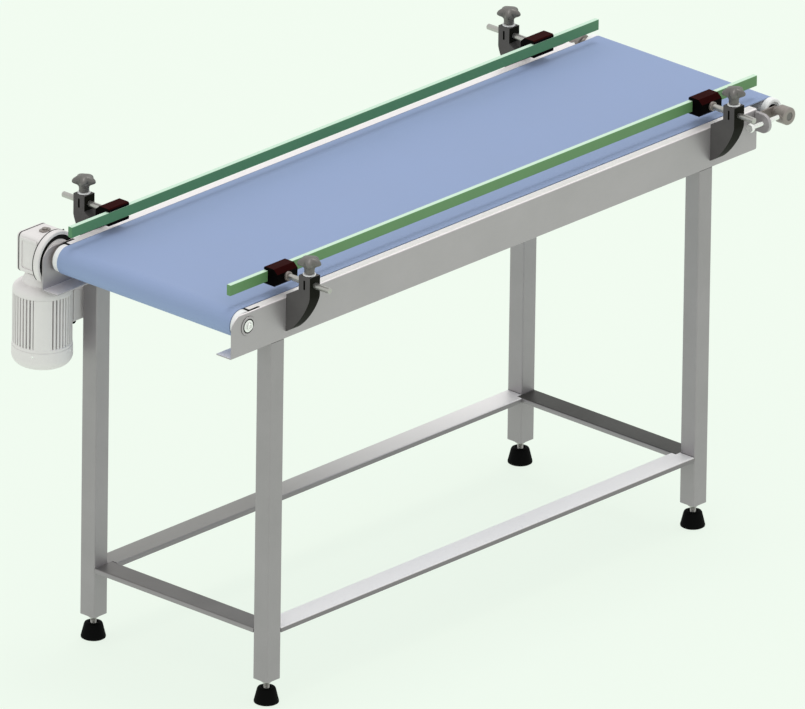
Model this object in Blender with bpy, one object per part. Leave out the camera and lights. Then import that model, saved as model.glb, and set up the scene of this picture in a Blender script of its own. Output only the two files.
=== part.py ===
"""Belt conveyor section: a flat belt on a slider bed, folded side frames on a braced stand, a right-angle gearmotor
at the drive end, a screw take-up at the tail end and two adjustable guide rails.

Metres, +Z up. +X runs from the drive end to the tail end, -Y is the front side and +Y the gearmotor side.
The origin is on the floor, in the middle of the whole object's box.
"""

import math

import bmesh
import bpy
from mathutils import Vector

# Overall
GAP = 0.0003  # clearance between pieces that touch
HALF_LENGTH = 0.800  # from the origin to the tail of the belt, and to the drive side of the fan cover
BELT_TOP = 0.847
BELT_THICK = 0.003
BELT_HALF = 0.2275

# Side frames: channels folded from sheet
FRAME_HALF = 0.250  # outer face of the web, from the belt's centreline
SHEET = 0.0025
FRAME_START = -0.786
FRAME_END = 0.718
FRAME_LOW = 0.760
FRAME_HIGH = 0.846
LOW_FLANGE = 0.040
HIGH_FLANGE = 0.0205
NOSE_RADIUS = 0.028
FLANGE_CUT = 0.053  # the top flange stops this far short of the drive end
RELIEF = 0.0025  # slit between web and top flange beside that cut
RELIEF_LENGTH = 0.080
WEB_INNER = FRAME_HALF - SHEET

# Rollers
DRIVE_RADIUS = 0.026
TAIL_RADIUS = 0.0215
RETURN_RADIUS = 0.011
PULLEY_HALF = 0.2415
DRIVE_X = -0.740
DRIVE_Z = BELT_TOP - BELT_THICK - DRIVE_RADIUS
TAIL_X = HALF_LENGTH - BELT_THICK - TAIL_RADIUS
TAIL_Z = BELT_TOP - BELT_THICK - TAIL_RADIUS
RETURN_X = 0.300
DRIVE_SHAFT_RADIUS = 0.010
TAIL_SHAFT_RADIUS = 0.008
AXLE_RADIUS = 0.005

# Slider bed and the ties that carry it
BED_START = -0.695
BED_END = 0.729
BED_HALF = 0.224
BED_SHEET = 0.002
BED_LIP = 0.014
BED_TOP = BELT_TOP - BELT_THICK - GAP
TIE_WIDTH = 0.040
TIE_HEIGHT = 0.025
TIE_WALL = 0.0025
TIE_X = {"drive": -0.450, "tail": 0.450}

# Stand
LEG = 0.038
LEG_WALL = 0.0025
LEG_X = {"drive": -0.653, "tail": 0.5745}
LEG_Y = 0.2293
LEG_LOW = 0.050
LEG_PLUG = 0.008
BRACE_TOP = 0.1555
BRACE_LIP = 0.010
BRACE_SHEET = 0.0025
BRACE_WIDTH = 0.051
FOOT_RADIUS = 0.0245
FOOT_NECK = 0.0180
FOOT_HEIGHT = 0.031
STUD_RADIUS = 0.006
STUD_TOP = 0.085

# Screw take-up at the tail
SLIDE_START = 0.607
SLIDE_INNER = 0.2425
SLIDE_OUTER = 0.2465
SLIDE_RADIUS = 0.0115
EYE_RADIUS = 0.018
EYE_INNER = 0.2580
EYE_OUTER = 0.285
SCREW_Y = 0.270
SCREW_RADIUS = 0.0045
SCREW_START = 0.674
SCREW_END = TAIL_X - 0.0105
LUG_THICK = 0.008
LUG_RADIUS = 0.020

# Gearmotor
GEAR_Y = 0.291  # the motor's axis crosses the drive shaft's axis here
BOX_HALF_X = 0.038
BOX_LOW = 0.778
BOX_HIGH = 0.856
BOX_INNER = 0.2666
BOX_OUTER = 0.3205
BOX_WALL = 0.006
COVER_THICK = 0.0037
FLANGE_RADIUS = 0.058
MOTOR_RADIUS = 0.0585
MOTOR_CORE = 0.0525
MOTOR_BORE = 0.030
MOTOR_HIGH = 0.736
MOTOR_LOW = 0.626
FIN_COUNT = 32
FAN_RADIUS = HALF_LENGTH + DRIVE_X
FAN_LOW = 0.586
ROTOR_SHAFT = 0.007

# Guide rails and their supports
RAIL_OUTER = 0.214
RAIL_THICK = 0.010
RAIL_LOW = 0.8725
RAIL_HIGH = 0.895
RAIL_START = -0.752
RAIL_END = 0.757
SUPPORT_X = {"drive": -0.619, "tail": 0.597}
SUPPORT_Y = 0.297
BLOCK = 0.029
BLOCK_HIGH = 0.902
BRACKET_BEND = 0.860  # the gusset's underside is a quarter of an ellipse that ends here
BRACKET_DROP = 0.084
ROD_Z = 0.884
ROD_RADIUS = 0.006
ROD_OUTER = 0.352
ROD_INNER = 0.228
CLAMP_LENGTH = 0.056
CLAMP_BACK = 0.240
CLAMP_LOW = 0.866
CLAMP_HIGH = 0.901
KNOB_RADIUS = 0.0245
KNOB_TOP = 0.940

SIDES = {"front": -1.0, "back": 1.0}
ENDS = ("drive", "tail")

COLOURS = {
    "stainless": ((0.42, 0.42, 0.40), 0.35, 1.0),
    "steel": ((0.55, 0.54, 0.52), 0.30, 1.0),
    "zinc": ((0.72, 0.72, 0.70), 0.35, 0.9),
    "belt": ((0.29, 0.37, 0.58), 0.60, 0.0),
    "white_plastic": ((0.85, 0.86, 0.88), 0.40, 0.0),
    "cast_grey": ((0.56, 0.55, 0.52), 0.55, 0.2),
    "dark_cast": ((0.09, 0.09, 0.09), 0.55, 0.3),
    "black_plastic": ((0.012, 0.009, 0.009), 0.35, 0.0),
    "rubber": ((0.015, 0.015, 0.015), 0.75, 0.0),
    "knob_grey": ((0.19, 0.19, 0.18), 0.45, 0.5),
    "green": ((0.12, 0.30, 0.10), 0.40, 0.0),
}


def clear_scene():
    for obj in list(bpy.data.objects):
        bpy.data.objects.remove(obj, do_unlink=True)


def material(name):
    found = bpy.data.materials.get(name)
    if found:
        return found
    made = bpy.data.materials.new(name)
    made.use_nodes = True
    shader = made.node_tree.nodes["Principled BSDF"]
    colour, roughness, metallic = COLOURS[name]
    shader.inputs["Base Color"].default_value = (*colour, 1.0)
    shader.inputs["Roughness"].default_value = roughness
    shader.inputs["Metallic"].default_value = metallic
    return made


# Outlines in a plane


def arc(centre, radius, start, end, steps):
    """Points on an arc, both ends included. Angles are in degrees."""
    points = []
    for i in range(steps + 1):
        angle = math.radians(start + (end - start) * i / steps)
        points.append((centre[0] + radius * math.cos(angle), centre[1] + radius * math.sin(angle)))
    return points


def rectangle(low, high):
    return [(low[0], low[1]), (high[0], low[1]), (high[0], high[1]), (low[0], high[1])]


def chamfered(low, high, cut):
    """A rectangle with its four corners cut off."""
    (x0, y0), (x1, y1) = low, high
    return [
        (x0 + cut, y0), (x1 - cut, y0), (x1, y0 + cut), (x1, y1 - cut),
        (x1 - cut, y1), (x0 + cut, y1), (x0, y1 - cut), (x0, y0 + cut),
    ]


def lobed(radius, depth, lobes, steps):
    """Points of a star knob's rim: a circle that dips between its lobes."""
    points = []
    for i in range(steps):
        angle = 2 * math.pi * i / steps
        dip = 0.5 * depth * (1 - math.cos(lobes * angle))
        points.append(((radius - dip) * math.cos(angle), (radius - dip) * math.sin(angle)))
    return points


# Solids


def place(axis, u, v, along):
    """A point from its two coordinates across an axis and its coordinate along it."""
    return {"X": (along, u, v), "Y": (u, along, v), "Z": (u, v, along)}[axis]


def finish(bm, name, colour, hidden=False):
    bmesh.ops.remove_doubles(bm, verts=bm.verts, dist=1e-7)
    bmesh.ops.recalc_face_normals(bm, faces=bm.faces)
    mesh = bpy.data.meshes.new(name)
    bm.to_mesh(mesh)
    bm.free()
    mesh.shade_smooth()
    mesh.set_sharp_from_angle(angle=math.radians(35))
    obj = bpy.data.objects.new(name, mesh)
    bpy.context.scene.collection.objects.link(obj)
    obj.data.materials.append(material(colour))
    if hidden:
        obj.hide_render = True
        obj.display_type = "WIRE"
    return obj


def prism(name, colour, outline, axis, low, high, hidden=False):
    """An outline across an axis, extruded along it."""
    bm = bmesh.new()
    corners = [bm.verts.new(place(axis, u, v, low)) for u, v in outline]
    face = bm.faces.new(corners)
    grown = bmesh.ops.extrude_face_region(bm, geom=[face])
    moved = [item for item in grown["geom"] if isinstance(item, bmesh.types.BMVert)]
    bmesh.ops.translate(bm, verts=moved, vec=Vector(place(axis, 0, 0, high - low)))
    return finish(bm, name, colour, hidden)


def band(name, colour, outer, inner, axis, low, high):
    """The ring between two outlines with the same number of points, extruded along an axis."""
    bm = bmesh.new()
    loops = []
    for outline, at in ((outer, low), (outer, high), (inner, high), (inner, low)):
        loops.append([bm.verts.new(place(axis, u, v, at)) for u, v in outline])
    for this, after in zip(loops, loops[1:] + loops[:1]):
        for i in range(len(outer)):
            j = (i + 1) % len(outer)
            bm.faces.new((this[i], this[j], after[j], after[i]))
    return finish(bm, name, colour)


def turned(name, colour, profile, axis, centre, steps=32, hidden=False):
    """A profile of (radius, place along the axis) spun round that axis. It starts and ends on the axis, or
    closes on itself."""
    bm = bmesh.new()
    points = [bm.verts.new(place(axis, centre[0] + radius, centre[1], at)) for radius, at in profile]
    closes = profile[0][0] > 0
    edges = [bm.edges.new(pair) for pair in zip(points, points[1:])]
    if closes:
        edges.append(bm.edges.new((points[-1], points[0])))
    bmesh.ops.spin(
        bm,
        geom=points + edges,
        cent=place(axis, centre[0], centre[1], 0),
        axis=place(axis, 0, 0, 1),
        angle=2 * math.pi,
        steps=steps,
        use_merge=True,
    )
    return finish(bm, name, colour, hidden)


def rod(name, colour, radius, axis, centre, low, high, steps=24, hidden=False):
    return turned(name, colour, [(0, low), (radius, low), (radius, high), (0, high)], axis, centre, steps, hidden)


def combine(obj, other, operation):
    other.hide_render = True
    other.display_type = "WIRE"
    modifier = obj.modifiers.new(f"{operation.lower()}_{other.name}", "BOOLEAN")
    modifier.operation = operation
    modifier.solver = "EXACT"
    modifier.object = other


def cut(obj, other):
    combine(obj, other, "DIFFERENCE")


def join(obj, other):
    combine(obj, other, "UNION")


def slab(name, colour, low, high, hidden=False):
    """A plain block between two corners, for folded sheet, tube walls and cutters."""
    return prism(name, colour, rectangle(low[:2], high[:2]), "Z", low[2], high[2], hidden)


def between(side, near, far):
    """A span across Y on one side of the centreline, in rising order."""
    return sorted((side * near, side * far))


# Frame


def side_frame(label, side):
    """A channel folded from sheet, with a rounded nose and a cut-back top flange at the drive end."""
    inner = side * WEB_INNER
    profile = [
        (side * (FRAME_HALF - LOW_FLANGE), FRAME_LOW),
        (side * FRAME_HALF, FRAME_LOW),
        (side * FRAME_HALF, FRAME_HIGH),
        (side * (FRAME_HALF - HIGH_FLANGE), FRAME_HIGH),
        (side * (FRAME_HALF - HIGH_FLANGE), FRAME_HIGH - SHEET),
        (inner, FRAME_HIGH - SHEET),
        (inner, FRAME_LOW + SHEET),
        (side * (FRAME_HALF - LOW_FLANGE), FRAME_LOW + SHEET),
    ]
    frame = prism(f"side_frame_{label}", "stainless", profile, "X", FRAME_START, FRAME_END)
    reach = 0.01
    centre = (FRAME_START + NOSE_RADIUS, FRAME_HIGH - NOSE_RADIUS)
    corner = arc(centre, NOSE_RADIUS, 180, 90, 8)
    corner += [(centre[0], FRAME_HIGH + reach), (FRAME_START - reach, FRAME_HIGH + reach)]
    corner += [(FRAME_START - reach, centre[1])]
    low, high = between(side, FRAME_HALF - LOW_FLANGE - reach, FRAME_HALF + reach)
    cut(frame, prism(f"nose_cutter_{label}", "stainless", corner, "Y", low, high, hidden=True))
    low, high = between(side, FRAME_HALF - HIGH_FLANGE - reach, WEB_INNER)
    at = (FRAME_START - reach, low, FRAME_HIGH - SHEET - reach / 2)
    to = (FRAME_START + FLANGE_CUT, high, FRAME_HIGH + reach)
    cut(frame, slab(f"flange_cutter_{label}", "stainless", at, to, hidden=True))
    low, high = between(side, WEB_INNER - RELIEF, WEB_INNER)
    at = (FRAME_START + FLANGE_CUT - reach, low, FRAME_HIGH - SHEET - reach / 2)
    to = (FRAME_START + RELIEF_LENGTH, high, FRAME_HIGH + reach)
    cut(frame, slab(f"relief_cutter_{label}", "stainless", at, to, hidden=True))
    low, high = between(side, WEB_INNER - reach, FRAME_HALF + reach)
    bearing = rod(f"bearing_cutter_{label}", "stainless", 0.020, "Y", (DRIVE_X, DRIVE_Z), low, high, 32, True)
    axle = rod(f"axle_cutter_{label}", "stainless", AXLE_RADIUS + 2 * GAP, "Y", return_centre(), low, high, 16, True)
    cut(frame, bearing)
    cut(frame, axle)
    return frame


def slider_bed():
    """The flat plate under the carrying strand, with its long edges turned down."""
    inner = BED_HALF - BED_SHEET
    profile = [
        (-BED_HALF, BED_TOP - BED_LIP), (-BED_HALF, BED_TOP), (BED_HALF, BED_TOP), (BED_HALF, BED_TOP - BED_LIP),
        (inner, BED_TOP - BED_LIP), (inner, BED_TOP - BED_SHEET), (-inner, BED_TOP - BED_SHEET),
        (-inner, BED_TOP - BED_LIP),
    ]
    return prism("slider_bed", "stainless", profile, "X", BED_START, BED_END)


def cross_tie(label):
    """A rectangular tube between the two webs, under the bed's edges."""
    high = BED_TOP - BED_LIP - GAP
    x = TIE_X[label]
    outer = rectangle((x - TIE_WIDTH / 2, high - TIE_HEIGHT), (x + TIE_WIDTH / 2, high))
    inner = rectangle(
        (x - TIE_WIDTH / 2 + TIE_WALL, high - TIE_HEIGHT + TIE_WALL), (x + TIE_WIDTH / 2 - TIE_WALL, high - TIE_WALL)
    )
    reach = WEB_INNER - GAP
    return band(f"cross_tie_{label}", "stainless", outer, inner, "Y", -reach, reach)


def leg(end, label, side):
    """A square tube with a threaded plug in its foot end."""
    x, y, half = LEG_X[end], side * LEG_Y, LEG / 2
    name = f"leg_{end}_{label}"
    tube = slab(name, "stainless", (x - half, y - half, LEG_LOW), (x + half, y + half, FRAME_LOW - GAP))
    bore = half - LEG_WALL
    at = (x - bore, y - bore, LEG_LOW + LEG_PLUG)
    cut(tube, slab(f"{name}_hollow", "stainless", at, (x + bore, y + bore, FRAME_LOW + 0.01), hidden=True))
    thread = rod(f"{name}_thread", "stainless", STUD_RADIUS + GAP, "Z", (x, y), LEG_LOW - 0.01, 0.1, 16, True)
    cut(tube, thread)
    return tube


def brace_profile(low, high):
    """A shallow channel that opens downwards, between two coordinates across its run."""
    z, lip = BRACE_TOP, BRACE_TOP - BRACE_LIP
    return [
        (low, lip), (low, z), (high, z), (high, lip), (high - BRACE_SHEET, lip),
        (high - BRACE_SHEET, z - BRACE_SHEET), (low + BRACE_SHEET, z - BRACE_SHEET), (low + BRACE_SHEET, lip),
    ]


def long_brace(label, side):
    """A brace between two legs, notched at its inner corners for the end braces."""
    outer = LEG_Y + LEG / 2
    low, high = between(side, outer - BRACE_WIDTH, outer)
    start = LEG_X["drive"] + LEG / 2 + GAP
    end = LEG_X["tail"] - LEG / 2 - GAP
    brace = prism(f"brace_{label}", "stainless", brace_profile(low, high), "X", start, end)
    notch = BRACE_WIDTH - LEG
    y0, y1 = between(side, outer - BRACE_WIDTH - 0.01, LEG_Y - LEG / 2)
    for end_name, x0, x1 in (("drive", start - 0.01, start + notch), ("tail", end - notch, end + 0.01)):
        at, to = (x0, y0, BRACE_TOP - 0.03), (x1, y1, BRACE_TOP + 0.01)
        cut(brace, slab(f"notch_{end_name}_{label}", "stainless", at, to, hidden=True))
    return brace


def end_brace(end):
    """A brace across the conveyor, flush with the legs' outer faces."""
    away = -1 if end == "drive" else 1
    outer, reach = LEG_X[end] + away * LEG / 2, LEG_Y - LEG / 2 - GAP
    low, high = sorted((outer, outer - away * BRACE_WIDTH))
    return prism(f"brace_{end}", "stainless", brace_profile(low, high), "Y", -reach, reach)


def levelling_foot(end, label, side):
    """A rubber pad on a threaded stud, with the stud's lock nut."""
    profile = [
        (0, 0), (FOOT_RADIUS, 0), (FOOT_RADIUS, 0.004), (FOOT_NECK, FOOT_HEIGHT), (0.0095, FOOT_HEIGHT + 0.002),
        (STUD_RADIUS, FOOT_HEIGHT + 0.002), (STUD_RADIUS, 0.042), (0.0105, 0.042), (0.0105, LEG_LOW - GAP),
        (STUD_RADIUS, LEG_LOW - GAP), (STUD_RADIUS, STUD_TOP), (0, STUD_TOP),
    ]
    centre = (LEG_X[end], side * LEG_Y)
    return turned(f"levelling_foot_{end}_{label}", "rubber", profile, "Z", centre, 24)


# Belt and rollers


def belt_angle():
    """How much the lower strand rises from the drive roller to the tail roller, in degrees."""
    return 2 * math.degrees(math.atan2(TAIL_Z - DRIVE_Z, TAIL_X - DRIVE_X))


def belt_loop(extra):
    """The belt's outline a given distance outside the rollers."""
    low = -90 + belt_angle()
    drive = arc((DRIVE_X, DRIVE_Z), DRIVE_RADIUS + extra, 90, 360 + low, 24)
    return drive + arc((TAIL_X, TAIL_Z), TAIL_RADIUS + extra, low, 90, 20)


def return_centre():
    """Where the return roller's axis lies, just under the lower strand."""
    down = math.radians(-90 + belt_angle())
    along = (RETURN_X - DRIVE_X) / math.cos(math.radians(belt_angle()))
    offset = DRIVE_RADIUS + BELT_THICK + GAP + RETURN_RADIUS
    x = DRIVE_X + offset * math.cos(down) - along * math.sin(down)
    return x, DRIVE_Z + offset * math.sin(down) + along * math.cos(down)


def conveyor_belt():
    outer, inner = belt_loop(BELT_THICK), belt_loop(GAP)
    return band("conveyor_belt", "belt", outer, inner, "Y", -BELT_HALF, BELT_HALF)


def drum(name, colour, radius, bore, centre):
    """A roller's shell with its ends recessed round the hub."""
    recess, rim, hub, bevel = 0.006, 0.004, bore + 0.005, 0.001
    end, face = PULLEY_HALF, PULLEY_HALF - recess
    half = [(bore, end), (hub, end), (hub, face), (radius - rim, face), (radius - rim, end), (radius - bevel, end)]
    half += [(radius, end - bevel)]
    profile = half + [(r, -y) for r, y in reversed(half)]
    return turned(name, colour, profile, "Y", centre, 40)


def drive_shaft():
    """The shaft through the drive roller into the gearbox, with its retaining bolt at the front."""
    front, back = -FRAME_HALF - GAP, 0.318
    ring, head, socket = 0.0122, 0.0065, 0.0035
    profile = [
        (0, front - 0.004), (socket, front - 0.004), (head, front - 0.006), (head, front - 0.003),
        (ring, front - 0.003), (ring, front), (DRIVE_SHAFT_RADIUS, front), (DRIVE_SHAFT_RADIUS, back), (0, back),
    ]
    return turned("drive_shaft", "steel", profile, "Y", (DRIVE_X, DRIVE_Z), 32)


def drive_bearing(label, side):
    """A flanged bush in the web, with its flange between web and roller."""
    bore, seat, rim = DRIVE_SHAFT_RADIUS + GAP, 0.020 - GAP, 0.024
    inner, shoulder, outer = PULLEY_HALF + 0.001, WEB_INNER - GAP, FRAME_HALF
    profile = [(bore, inner), (rim, inner), (rim, shoulder), (seat, shoulder), (seat, outer), (bore, outer)]
    profile = [(r, side * y) for r, y in profile]
    return turned(f"drive_bearing_{label}", "zinc", profile, "Y", (DRIVE_X, DRIVE_Z), 32)


def return_roller():
    end, axle = PULLEY_HALF - 0.004, FRAME_HALF - GAP
    profile = [(0, axle), (AXLE_RADIUS, axle), (AXLE_RADIUS, end), (RETURN_RADIUS, end)]
    profile += [(r, -y) for r, y in reversed(profile)]
    return turned("return_roller", "zinc", profile, "Y", return_centre(), 24)


# Screw take-up


def take_up_block(label, side):
    """A slide bar inside the web, with a round eye outside it for the shaft and the screw."""
    low, high = TAIL_Z - SLIDE_RADIUS, TAIL_Z + SLIDE_RADIUS
    outline = [(SLIDE_START, high), (SLIDE_START, low)]
    outline += arc((TAIL_X, TAIL_Z), SLIDE_RADIUS, -90, 90, 16)
    y0, y1 = between(side, SLIDE_INNER, SLIDE_OUTER)
    block = prism(f"take_up_block_{label}", "zinc", outline, "Y", y0, y1)
    centre = (TAIL_X, TAIL_Z)
    neck, root = SLIDE_RADIUS - 0.001, SLIDE_OUTER - 0.0018
    profile = [(0, root), (neck, root), (neck, EYE_INNER), (EYE_RADIUS, EYE_INNER), (EYE_RADIUS, EYE_OUTER), (0, EYE_OUTER)]
    profile = [(r, side * y) for r, y in profile]
    join(block, turned(f"eye_{label}", "zinc", profile, "Y", centre, 28, True))
    y0, y1 = between(side, SLIDE_INNER - 0.01, EYE_OUTER - 0.003)
    cut(block, rod(f"eye_bore_{label}", "zinc", TAIL_SHAFT_RADIUS + GAP, "Y", centre, y0, y1, 24, True))
    start, end = TAIL_X - EYE_RADIUS - 0.01, SCREW_END + GAP
    cut(block, rod(f"screw_bore_{label}", "zinc", SCREW_RADIUS + GAP, "X", (side * SCREW_Y, TAIL_Z), start, end, 16, True))
    return block


def take_up_lug(label, side):
    """The plate on the end of the web that the take-up screw turns in."""
    centre = (side * SCREW_Y, TAIL_Z)
    near = side * (FRAME_HALF + GAP)
    outline = [(near, TAIL_Z - LUG_RADIUS)] + arc(centre, LUG_RADIUS, -90, 90 if side > 0 else -270, 16)
    outline += [(near, TAIL_Z + LUG_RADIUS)]
    start = FRAME_END - LUG_THICK
    lug = prism(f"take_up_lug_{label}", "stainless", outline, "X", start, FRAME_END)
    hole = rod(f"lug_hole_{label}", "stainless", SCREW_RADIUS + GAP, "X", centre, start - 0.01, FRAME_END + 0.01, 16, True)
    cut(lug, hole)
    return lug


def take_up_screw(label, side):
    """The adjusting screw, with its head at the drive side and a lock nut beyond the lug."""
    nut = 0.009
    profile = [
        (0, SCREW_START), (nut, SCREW_START), (nut, SCREW_START + 0.008), (SCREW_RADIUS, SCREW_START + 0.008),
        (SCREW_RADIUS, SCREW_END), (0, SCREW_END),
    ]
    return turned(f"take_up_screw_{label}", "steel", profile, "X", (side * SCREW_Y, TAIL_Z), 18)


# Gearmotor


def output_flange():
    """The ring that bolts the gearbox to the back web, cut off flat above the motor's flange."""
    bore = DRIVE_SHAFT_RADIUS + 2 * GAP
    near, step, far = FRAME_HALF + GAP, 0.2583, BOX_INNER - GAP
    profile = [(bore, near), (0.035, near), (0.035, step), (FLANGE_RADIUS, step), (FLANGE_RADIUS, far), (bore, far)]
    flange = turned("output_flange", "cast_grey", profile, "Y", (DRIVE_X, DRIVE_Z), 40)
    reach = FLANGE_RADIUS + 0.01
    at = (DRIVE_X - reach, FRAME_HALF - 0.01, DRIVE_Z - reach)
    cut(flange, slab("flange_foot_cutter", "cast_grey", at, (DRIVE_X + reach, BOX_INNER + 0.01, BOX_LOW), hidden=True))
    return flange


def gearbox_housing():
    """A cast box, open to the cover at the back, to the motor below and to the shaft at the front."""
    outline = chamfered((DRIVE_X - BOX_HALF_X, BOX_LOW), (DRIVE_X + BOX_HALF_X, BOX_HIGH), 0.006)
    housing = prism("gearbox_housing", "cast_grey", outline, "Y", BOX_INNER, BOX_OUTER)
    low, high = BOX_LOW + BOX_WALL, BOX_HIGH - BOX_WALL
    half = BOX_HALF_X - BOX_WALL
    at = (DRIVE_X - half, BOX_INNER + BOX_WALL, low)
    cut(housing, slab("housing_hollow", "cast_grey", at, (DRIVE_X + half, BOX_OUTER + 0.01, high), hidden=True))
    centre = (DRIVE_X, DRIVE_Z)
    cut(housing, rod("housing_bore", "cast_grey", 0.013, "Y", centre, BOX_INNER - 0.01, 0.285, 24, True))
    cut(housing, rod("housing_mouth", "cast_grey", 0.020, "Z", (DRIVE_X, GEAR_Y), BOX_LOW - 0.01, low + 0.005, 24, True))
    return housing


def gearbox_cover():
    outline = chamfered((DRIVE_X - BOX_HALF_X, BOX_LOW), (DRIVE_X + BOX_HALF_X, BOX_HIGH), 0.006)
    near = BOX_OUTER + GAP
    return prism("gearbox_cover", "cast_grey", outline, "Y", near, near + COVER_THICK)


def vent_plug():
    base = BOX_HIGH + GAP
    profile = [(0, base), (0.0127, base), (0.0127, base + 0.003), (0.007, base + 0.003), (0.007, base + 0.006), (0, base + 0.006)]
    return turned("vent_plug", "cast_grey", profile, "Z", (DRIVE_X, GEAR_Y), 20)


def bevel_gear():
    """The large bevel gear on the drive shaft. Its cone points at the crossing of the two axes."""
    bore, rim = DRIVE_SHAFT_RADIUS + GAP, 0.029
    profile = [(bore, 0.2735), (0.018, 0.2735), (rim, 0.2780), (rim, 0.2820), (0.0175, 0.2852), (bore, 0.2852)]
    return turned("bevel_gear", "steel", profile, "Y", (DRIVE_X, DRIVE_Z), 36)


def motor_rotor():
    """The motor's shaft with its bevel pinion, rotor core and cooling fan."""
    fan, core = 0.046, MOTOR_BORE - 0.0015
    profile = [
        (0, 0.600), (ROTOR_SHAFT, 0.600), (fan, 0.602), (fan, 0.614), (fan - 0.003, 0.614), (fan - 0.003, 0.606),
        (ROTOR_SHAFT, 0.606), (ROTOR_SHAFT, 0.650), (core, 0.650), (core, 0.715), (ROTOR_SHAFT, 0.715),
        (ROTOR_SHAFT, 0.7865), (0.0062, 0.7880), (0.0045, 0.8035), (0, 0.8035),
    ]
    return turned("motor_rotor", "steel", profile, "Z", (DRIVE_X, GEAR_Y), 28)


def motor_flange():
    """The bell between gearbox and motor."""
    bore, high, low = 0.012, BOX_LOW - GAP, MOTOR_HIGH + GAP
    profile = [
        (bore, high), (0.033, high), (0.033, 0.768), (0.040, 0.7605), (0.040, 0.7590), (MOTOR_RADIUS, 0.746), (MOTOR_RADIUS, low),
        (bore, low),
    ]
    return turned("motor_flange", "cast_grey", profile, "Z", (DRIVE_X, GEAR_Y), 40)


def fin_outline():
    """The motor's section: fins all round, but for a plain band at each side and one under the terminal box."""
    points = []
    pitch = 360 / FIN_COUNT
    plain = (225, 45, 0)
    for i in range(FIN_COUNT):
        angle = i * pitch
        clear = min(abs((angle - p + 180) % 360 - 180) for p in plain) > 1.2 * pitch
        for turn, root in ((-0.32, True), (-0.18, False), (0.18, False), (0.32, True)):
            radius = MOTOR_CORE if root and clear else MOTOR_RADIUS
            at = math.radians(angle + turn * pitch)
            points.append((DRIVE_X + radius * math.cos(at), GEAR_Y + radius * math.sin(at)))
    return points


def motor_body():
    """The finned stator housing."""
    outer = fin_outline()
    inner = arc((DRIVE_X, GEAR_Y), MOTOR_BORE, 0, 360, len(outer))[:-1]
    return band("motor_body", "cast_grey", outer, inner, "Z", MOTOR_LOW + GAP, MOTOR_HIGH)


def fan_cover():
    """A drawn cowl with a rounded foot and an air inlet in its middle."""
    wall, inlet, turn = 0.002, 0.020, 0.022
    centre = (FAN_RADIUS - turn, FAN_LOW + turn)
    outer = arc(centre, turn, 0, -90, 8)
    inner = arc(centre, turn - wall, -90, 0, 8)
    profile = [(FAN_RADIUS, MOTOR_LOW)] + outer + [(inlet, FAN_LOW), (inlet, FAN_LOW + wall)] + inner
    profile += [(FAN_RADIUS - wall, MOTOR_LOW)]
    return turned("fan_cover", "cast_grey", profile, "Z", (DRIVE_X, GEAR_Y), 40)


def terminal_box():
    """The box on the motor's side that the supply cable enters from below."""
    start = DRIVE_X + MOTOR_RADIUS + GAP
    y0, y1 = GEAR_Y - 0.034, GEAR_Y + 0.034
    outline = chamfered((y0, 0.662), (y1, 0.732), 0.004)
    return prism("terminal_box", "cast_grey", outline, "X", start, start + 0.046)


def cable_gland():
    """An empty gland under the terminal box."""
    high = 0.662 - GAP
    profile = [
        (0.0045, high), (0.0095, high), (0.0095, high - 0.008), (0.0080, high - 0.008), (0.0080, high - 0.018),
        (0.0045, high - 0.018),
    ]
    centre = (DRIVE_X + MOTOR_RADIUS + 0.024, GEAR_Y)
    return turned("cable_gland", "black_plastic", profile, "Z", centre, 18)


# Guide rails


def guide_rail(label, side):
    """A flat bar of plastic with its long edges eased."""
    y0, y1 = between(side, RAIL_OUTER - RAIL_THICK, RAIL_OUTER)
    outline = chamfered((y0, RAIL_LOW), (y1, RAIL_HIGH), 0.001)
    return prism(f"guide_rail_{label}", "green", outline, "X", RAIL_START, RAIL_END)


def rail_clamp(end, label, side):
    """A plastic clip that grips the rail's back, top and bottom, on the end of the rod."""
    x, half = SUPPORT_X[end], CLAMP_LENGTH / 2
    name = f"rail_clamp_{end}_{label}"
    back, lip, bevel = CLAMP_BACK, RAIL_OUTER - RAIL_THICK, 0.008
    section = [
        (back, CLAMP_LOW + bevel), (back - bevel, CLAMP_LOW), (lip, CLAMP_LOW), (lip, RAIL_LOW - GAP),
        (RAIL_OUTER + GAP, RAIL_LOW - GAP), (RAIL_OUTER + GAP, RAIL_HIGH + GAP), (lip, RAIL_HIGH + GAP),
        (lip, CLAMP_HIGH), (back - bevel, CLAMP_HIGH), (back, CLAMP_HIGH - bevel),
    ]
    section = [(side * y, z) for y, z in section]
    clamp = prism(name, "black_plastic", section, "X", x - half, x + half)
    y0, y1 = between(side, ROD_INNER - GAP, CLAMP_BACK + 0.01)
    cut(clamp, rod(f"{name}_socket", "black_plastic", ROD_RADIUS + GAP, "Y", (x, ROD_Z), y0, y1, 20, True))
    return clamp


def rail_rod(end, label, side):
    x, bevel = SUPPORT_X[end], 0.001
    profile = [
        (0, ROD_INNER), (ROD_RADIUS, ROD_INNER), (ROD_RADIUS, ROD_OUTER - bevel), (ROD_RADIUS - bevel, ROD_OUTER),
        (0, ROD_OUTER),
    ]
    profile = [(r, side * y) for r, y in profile]
    return turned(f"rail_rod_{end}_{label}", "steel", profile, "Y", (x, ROD_Z), 20)


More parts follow.
